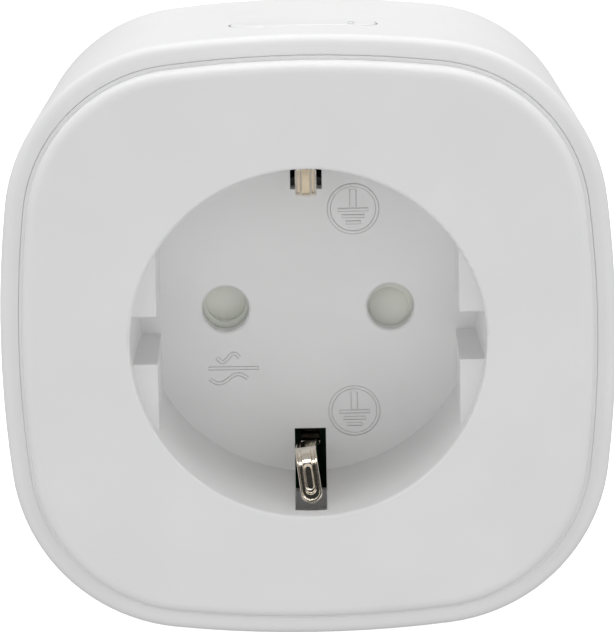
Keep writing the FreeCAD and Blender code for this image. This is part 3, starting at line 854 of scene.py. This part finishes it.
@dataclass
class TopButton(SubAssembly):
    """Power button and the switch below it."""

    dressed: dict[str, Finish] = field(
        default_factory=lambda: {
            "power_button": BUTTON_ABS,
            "tact_switch_body": SWITCH_BLACK,
            "tact_switch_plunger": SWITCH_BLACK,
        }
    )
    window_place: Point2 = (5.4, -43.6)
    window_radius: float = 0.4
    window_depth: float = 0.3
    window_sunk: float = 0.01  # its face below the button's
    window_bevel: float = 0.05

    def build(self) -> Iterable[bpy.types.Object]:
        """Makes the small light window in the button's top."""
        build = bmesh.new()
        x, y = self.window_place
        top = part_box("power_button")[1].z / MM
        r, deep, bevel = self.window_radius, self.window_depth, self.window_bevel
        rise = 0.6 * bevel
        section = [(0.0, -deep), (r, -deep), (r, 0.0), (r - bevel, rise), (0.0, rise)]
        place = Vector((x, y, top - self.window_sunk - rise))
        lathe(build, section, place, Vector((0, 0, 1)))
        yield shape("light_window", build, LENS, "button")


@dataclass
class PinShutter(SubAssembly):
    """Blade that closes the pin holes, its pivot and its spring."""

    dressed: dict[str, Finish] = field(
        default_factory=lambda: {
            "safety_shutter": ACETAL,
            "shutter_pivot": ZINC,
            "shutter_spring": SPRING_WIRE,
        }
    )


@dataclass
class SocketContacts(SubAssembly):
    """Carrier with the live contacts, and the two side earth clips on their bridge."""

    dressed: dict[str, Finish] = field(
        default_factory=lambda: {
            # The carrier's near-black finish is also painted shade for the cavity behind the socket
            # slots.
            "contact_carrier": NYLON,
            "line_contact": BRONZE,
            "neutral_contact": BRONZE,
            "earth_bridge": NICKEL,
            "earth_clip_upper": NICKEL,
            "earth_clip_lower": NICKEL,
        }
    )
    clips: tuple["EarthClip", ...] = ()

    def build(self) -> Iterable[bpy.types.Object]:
        """Makes the two pressed clips."""
        for clip in self.clips:
            yield clip.build()


@dataclass(frozen=True)
class EarthClip:
    """One side earth clip: a strip whose front slope has a tongue and rails pressed into it.

    Its outline is given for the upper clip, as depth behind the front face and height; the lower
    one is its mirror image and leans over a little. All sizes are in millimetres.
    """

    name: str
    node: str
    body: str
    upper: bool
    crest: Point2
    lean: float = 0.0
    shift: float = 0.0
    root: Point2 = (21.5, 17.2)
    knee: Point2 = (17.5, 16.0)
    tip: Point2 = (4.05, 19.35)
    tip_overrun: float = 0.24
    bends: tuple[float, float] = (6.0, 3.2)
    bend_steps: int = 12
    half: float = 1.2
    tip_half: float = 0.02
    thick: float = 0.48
    edge_round: Point2 = (0.12, 0.07)  # how far in from the edge, and how deep
    # The pressed pattern: distances past the crest along the strip, and half widths across it.
    relief_mm: float = 0.3
    slotted: bool = True
    tongue_half: float = 0.64
    tongue_end: float = 4.66
    slot_half: float = 0.32
    slot_start: float = 1.8
    slot_end: float = 4.67
    flank: float = 0.16
    rail_start: float = 0.88
    rail_flank: float = 0.14
    rail_beyond: float = 0.4
    rail_share: float = 0.8  # of the tongue's height
    ground_share: float = 0.45  # how far the ground between them is pressed down
    fade: Point2 = (-1.6, 1.8)  # where the pattern starts, and over what length
    score: Point2 = (0.09, 0.05)  # half width and depth of the lines behind the crest
    columns: int = 56
    fine_step: float = 0.055
    fine_from: float = -2.2
    coarse_step: float = 0.5

    def _outline(self) -> list[Vector]:
        """Gives the strip's middle line as points of depth and height."""
        corners = [Vector(p) for p in (self.root, self.knee, self.crest, self.tip)]
        line = [corners[0]]
        for before, here, after, radius in zip(corners, corners[1:], corners[2:], self.bends):
            back, ahead = (before - here).normalized(), (after - here).normalized()
            half = back.angle(ahead) / 2
            start, end = (here + way * radius / math.tan(half) for way in (back, ahead))
            centre = here + (back + ahead).normalized() * radius / math.sin(half)
            whole = (start - centre).angle_signed(end - centre)
            for step in range(self.bend_steps + 1):
                turn = Matrix.Rotation(-whole * step / self.bend_steps, 2)
                line.append(centre + turn @ (start - centre))
        return line + [corners[-1]]

    def _relief(self, across: float, past: float) -> float:
        """Height of the pressed pattern.

        Args:
            across: distance from the strip's middle line.
            past: distance past the crest towards the tip.

        Returns:
            Height above the plain strip.
        """

        def rise(value: float, width: float) -> float:
            t = max(0.0, min(1.0, value / width))
            return t * t * (3 - 2 * t)

        fade_start, fade_length = self.fade
        slope = rise(past - fade_start, fade_length)
        inside = self.tongue_half - math.hypot(across, max(past - self.tongue_end, 0.0))
        tongue = rise(inside, self.flank)
        if self.slotted:
            middle = (self.slot_start + self.slot_end) / 2
            reach = (self.slot_end - self.slot_start) / 2 - self.slot_half
            from_slot = math.hypot(across, max(abs(past - middle) - reach, 0.0))
            tongue *= rise(from_slot - self.slot_half, self.flank)
        outside = math.hypot(across, max(past - self.tongue_end - self.rail_beyond, 0.0))
        rail = rise(outside - self.rail_start, self.rail_flank)
        score_half, score_deep = self.score
        off_score = abs(abs(across) - self.tongue_half)
        scored = -score_deep * (1 - slope) * max(0.0, 1 - off_score / score_half)
        pattern = tongue + self.rail_share * rail - self.ground_share
        return scored + slope * self.relief_mm * pattern

    def _stations(self) -> list[tuple[Vector, Vector, float]]:
        """Gives the rows of the strip: middle point, normal and distance past the crest."""
        line = self._outline()
        reach = [0.0]
        for a, b in zip(line, line[1:]):
            reach.append(reach[-1] + (b - a).length)
        crest = min(range(len(line)), key=lambda k: (line[k] - Vector(self.crest)).length)
        total, at_crest = reach[-1] + self.tip_overrun, reach[crest]
        rows, along = [], 0.0
        while along < total - 1e-4:
            k = max(i for i in range(len(line) - 1) if reach[i] <= along + 1e-9)
            way = (line[k + 1] - line[k]).normalized()
            point = line[k] + way * (along - reach[k])
            rows.append((point, Vector((-way.y, way.x)), along - at_crest))
            fine = along > at_crest + self.fine_from
            along += self.fine_step if fine else self.coarse_step
        way = (line[-1] - line[-2]).normalized()
        end = line[-1] + way * self.tip_overrun
        rows.append((end, Vector((-way.y, way.x)), total - at_crest))
        return rows

    def _place(self, across: float, point: Vector) -> Vector:
        """Puts a point of the strip into the part's frame.

        Args:
            across: distance from the middle line.
            point: depth and height.

        Returns:
            The point in millimetres.
        """
        made = Vector((across, FRONT_Y + point.x, point.y))
        if self.upper:
            return made
        made.z = -made.z
        pivot = Vector((0, 0, -self.root[1]))
        made = Matrix.Rotation(math.radians(-self.lean), 3, "Y") @ (made - pivot) + pivot
        return made + Vector((self.shift, 0, 0))

    def build(self) -> bpy.types.Object:
        """Makes the clip and lets it stand for the part's own."""
        build = bmesh.new()
        rows = self._stations()
        end = rows[-1][2]
        edge_width, edge_deep = self.edge_round
        front, rear = [], []
        for point, normal, past in rows:
            left = max(0.0, past - (end - self.half))
            width = math.sqrt(max(self.half**2 - left**2, self.tip_half**2))
            front_row, rear_row = [], []
            for column in range(self.columns + 1):
                share = 2 * column / self.columns - 1
                across = width * share
                near_edge = max(0.0, (abs(share) * width - width + edge_width) / edge_width)
                fall = edge_deep * near_edge**2
                high = self.thick / 2 + self._relief(across, past) - fall
                low = -self.thick / 2 + fall
                front_row.append(build.verts.new(self._place(across, point + normal * high)))
                rear_row.append(build.verts.new(self._place(across, point + normal * low)))
            front.append(front_row)
            rear.append(rear_row)
        strips = [pair for sheet in (front, rear) for pair in zip(sheet, sheet[1:])]
        for side in (0, -1):
            strips.append(([row[side] for row in front], [row[side] for row in rear]))
            strips.append((front[side], rear[side]))
        for one, two in strips:
            for a, b, c, d in zip(one, one[1:], two[1:], two):
                build.faces.new((a, b, c, d))
        made = shape(self.name, build, PRESSED_NICKEL, self.body)
        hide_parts(self.node)
        return made


@dataclass
class WallPlug(SubAssembly):
    """Pins, their retainer, the side earth contacts and the straps to the board."""

    dressed: dict[str, Finish] = field(
        default_factory=lambda: {
            "plug_pin_line": NICKEL,
            "plug_pin_neutral": NICKEL,
            "pin_retainer": NYLON,
            "plug_earth_bracket": NICKEL,
            "earth_receptacle": NICKEL,
            "line_strap": BRONZE,
            "neutral_strap": BRONZE,
            "earth_link": NICKEL,
        }
    )


@dataclass
class ControlElectronics(SubAssembly):
    """Small board with the switch, the light and the shielded radio."""

    dressed: dict[str, Finish] = field(
        default_factory=lambda: {
            "control_board": LAMINATE,
            "status_light": LENS,
            "radio_shield": TINPLATE,
            "radio_chip": EPOXY,
        }
    )


@dataclass
class Relay(SubAssembly):
    """Relay that switches the outlet."""

    dressed: dict[str, Finish] = field(
        default_factory=lambda: {
            "relay_case": BLUE_CASE,
            "relay_base": BLUE_CASE,
            "relay_coil": MAGNET_WIRE,
            "relay_yoke": SOFT_IRON,
            "relay_armature": SOFT_IRON,
        }
    )


@dataclass
class PowerBoard(SubAssembly):
    """Main board with the supply and the metering parts."""

    dressed: dict[str, Finish] = field(
        default_factory=lambda: {
            "main_board": LAMINATE,
            "bulk_capacitors": SLEEVE,
            "film_capacitor": FILM_BOX,
            "varistor": DIPPED_EPOXY,
            "fuse_resistor": CEMENT,
            "power_inductor": FERRITE,
            "inductor_winding": MAGNET_WIRE,
            "current_shunt": MANGANIN,
            "metering_chip": EPOXY,
            "supply_chip": EPOXY,
            "bridge_rectifier": EPOXY,
        }
    )


@dataclass
class Fasteners(SubAssembly):
    """Screws of the housing and of the contact carrier."""

    dressed: dict[str, Finish] = field(
        default_factory=lambda: {"housing_screws": ZINC, "carrier_screws": ZINC}
    )


CLIPS = (
    EarthClip(
        "earth_clip_upper_pressed",
        "earth_clip_upper",
        "clip_upper",
        upper=True,
        crest=(7.2, 15.5),
        bends=(6.0, 1.6),
        relief_mm=0.12,
        slotted=False,
        tongue_end=6.0,
        rail_start=0.93,
    ),
    EarthClip(
        "earth_clip_lower_pressed",
        "earth_clip_lower",
        "clip_lower",
        upper=False,
        crest=(7.83, 14.31),
        lean=8.6,
        shift=-0.15,
    ),
)


# ---- studio --------------------------------------------------------------------------------
@dataclass
class Studio:
    """Pale floor, soft light and the camera.

    The camera stands a little above the socket and looks down at it with a long lens. The
    surroundings are given by how high one looks: the upward part of the direction, from -1 to
    1, and the level there.
    """

    distance_mm: float = 583.0
    azimuth: float = 0.14
    elevation: float = 13.94
    roll: float = -1.02
    lens_mm: float = 295.6
    aim_up_mm: float = 3.03
    aim_side_mm: float = -0.1
    sensor_mm: float = 36.0
    clip_m: Point2 = (0.01, 50.0)
    floor_size: float = 6.0
    floor_glow: float = 0.75
    floor_roughness: float = 0.9
    peak: float = 8.0  # brightest level that the bands can hold
    side: float = 0.155  # added from both sides
    side_span: Point2 = (0.45, 0.95)  # sideways part of the direction where it sets in
    turn_span: Point2 = (0.25, -0.25)  # backward part where the back gives way to the front
    front: tuple[Point2, ...] = (
        (-1.0, 0.0),
        (-0.5, 1.02),  # white table in front
        (0.0, 0.78),
        (0.4, 1.0),  # low front panel
        (0.70, 0.03),  # dark screen above it
        (0.885, 0.03),
        (0.968, 4.9),  # strip at the edge of the overhead box
        (0.973, 2.3),
        (1.0, 1.0),
    )
    back: tuple[Point2, ...] = (
        (-1.0, 0.15),
        (-0.4, 0.42),
        (0.2, 0.30),
        (0.75, 1.3),  # pale wall behind, brighter towards the top
        (0.968, 2.4),
        (0.973, 0.9),
        (1.0, 1.0),
    )
    box_place: tuple[float, float, float] = (0, -30, 700)
    box_mm: Point2 = (340, 340)
    box_watts: float = 0.4

    def camera(self) -> bpy.types.Object:
        """Makes the camera."""
        a, e = math.radians(self.azimuth), math.radians(self.elevation)
        back = Vector((math.sin(a) * math.cos(e), -math.cos(a) * math.cos(e), math.sin(e)))
        face = Vector((0, FRONT_Y, 0)) * MM
        place = face + back * self.distance_mm * MM
        side = Vector((0, 0, 1)).cross(back).normalized()
        up = back.cross(side)
        aim = face + (up * self.aim_up_mm + side * self.aim_side_mm) * MM
        data = bpy.data.cameras.new("camera")
        data.sensor_width = self.sensor_mm
        data.lens = self.lens_mm
        data.clip_start, data.clip_end = self.clip_m
        made = bpy.data.objects.new("camera", data)
        turn = (aim - place).to_track_quat("-Z", "Y").to_matrix().to_4x4()
        tilt = Matrix.Rotation(math.radians(self.roll), 4, "Z")
        made.matrix_world = Matrix.Translation(place) @ turn @ tilt
        bpy.context.scene.collection.objects.link(made)
        bpy.context.scene.camera = made
        return made

    def _band(
        self, tree: bpy.types.NodeTree, height: bpy.types.NodeSocket, stops: Sequence[Point2]
    ) -> bpy.types.NodeSocket:
        """Makes a level that depends on how high the sky is looked at.

        Args:
            tree: the world's tree.
            height: the direction's upward part, -1 to 1.
            stops: upward part and level, in order.

        Returns:
            The output with the level.
        """
        spread = {"Value": height, "From Min": -1.0, "From Max": 1.0}
        share = add(tree, "MapRange", spread).outputs[0]
        ramp = add(tree, "ValToRGB", {0: share})
        elements = ramp.color_ramp.elements
        elements.remove(elements[1])
        for k, (up, level) in enumerate(stops):
            mark = elements[0] if k == 0 else elements.new((up + 1) / 2)
            mark.position = (up + 1) / 2
            mark.color = (level / self.peak,) * 3 + (1.0,)
        scaled = {0: ramp.outputs[0], 1: self.peak}
        return add(tree, "Math", scaled, operation="MULTIPLY").outputs[0]

    def world(self) -> None:
        """Makes the soft surroundings.

        They are bright overhead and low in front, like a white table, and dark above the front.
        """
        made = bpy.data.worlds.new("studio")
        made.use_nodes = True
        tree = made.node_tree
        tree.nodes.clear()
        way = add(tree, "TexCoord").outputs["Generated"]
        split = add(tree, "SeparateXYZ", {0: way}).outputs
        front = self._band(tree, split["Z"], self.front)
        back = self._band(tree, split["Z"], self.back)
        start, end = self.turn_span
        turn = add(
            tree,
            "MapRange",
            {"Value": split["Y"], "From Min": start, "From Max": end},
            interpolation_type="SMOOTHSTEP",
        ).outputs[0]
        around = add(tree, "Mix", {0: turn, 2: back, 3: front}).outputs[0]
        width = add(tree, "Math", {0: split["X"]}, operation="ABSOLUTE").outputs[0]
        start, end = self.side_span
        side = add(
            tree,
            "MapRange",
            {"Value": width, "From Min": start, "From Max": end, "To Max": self.side},
            interpolation_type="SMOOTHSTEP",
        ).outputs[0]
        level = add(tree, "Math", {0: around, 1: side}, operation="ADD").outputs[0]
        glow = add(tree, "Background", {"Color": linear("FFFFFF"), "Strength": level})
        add(tree, "OutputWorld", {"Surface": glow.outputs[0]})
        bpy.context.scene.world = made

    def overhead_box(self) -> None:
        """Hangs the soft box that faces straight down."""
        data = bpy.data.lights.new("overhead_softbox", "AREA")
        data.shape = "RECTANGLE"
        data.size, data.size_y = (side * MM for side in self.box_mm)
        data.energy = self.box_watts
        made = bpy.data.objects.new("overhead_softbox", data)
        made.location = Vector(self.box_place) * MM
        bpy.context.scene.collection.objects.link(made)

    def floor(self) -> bpy.types.Object:
        """Makes the pale floor that the meter stands on, lit evenly so that it stays white."""
        build = bmesh.new()
        half = self.floor_size / 2
        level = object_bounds()[0].z
        corners = ((-half, -half), (half, -half), (half, half), (-half, half))
        build.faces.new([build.verts.new((x, y, level)) for x, y in corners])
        data = bpy.data.meshes.new("floor")
        build.to_mesh(data)
        build.free()
        made = bpy.data.objects.new("floor", data)
        paper = bpy.data.materials.new("paper_sweep_white")
        paper.use_nodes = True
        shader = paper.node_tree.nodes["Principled BSDF"].inputs
        shader["Base Color"].default_value = linear("F4F4F4")
        shader["Roughness"].default_value = self.floor_roughness
        shader["Emission Color"].default_value = linear("FFFFFF")
        shader["Emission Strength"].default_value = self.floor_glow
        data.materials.append(paper)
        bpy.context.scene.collection.objects.link(made)
        made.visible_diffuse = False
        made.visible_glossy = False
        made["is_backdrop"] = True
        return made

    def run(self) -> None:
        """Sets up camera, light and floor."""
        self.camera()
        self.world()
        self.floor()
        self.overhead_box()
        view = bpy.context.scene.view_settings
        view.view_transform = "Standard"
        log.info("studio ready")


def main() -> None:
    """Builds every sub-assembly in order, then the studio."""
    logging.basicConfig(level=logging.INFO, format="%(name)s %(message)s")
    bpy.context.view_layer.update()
    for part in (
        Shells(),
        TopButton(),
        PinShutter(),
        SocketContacts(clips=CLIPS),
        WallPlug(),
        ControlElectronics(),
        Relay(),
        PowerBoard(),
        Fasteners(),
    ):
        log.info("-- %s", type(part).__name__)
        part.run()
    Studio().run()


if __name__ == "__main__":
    main()
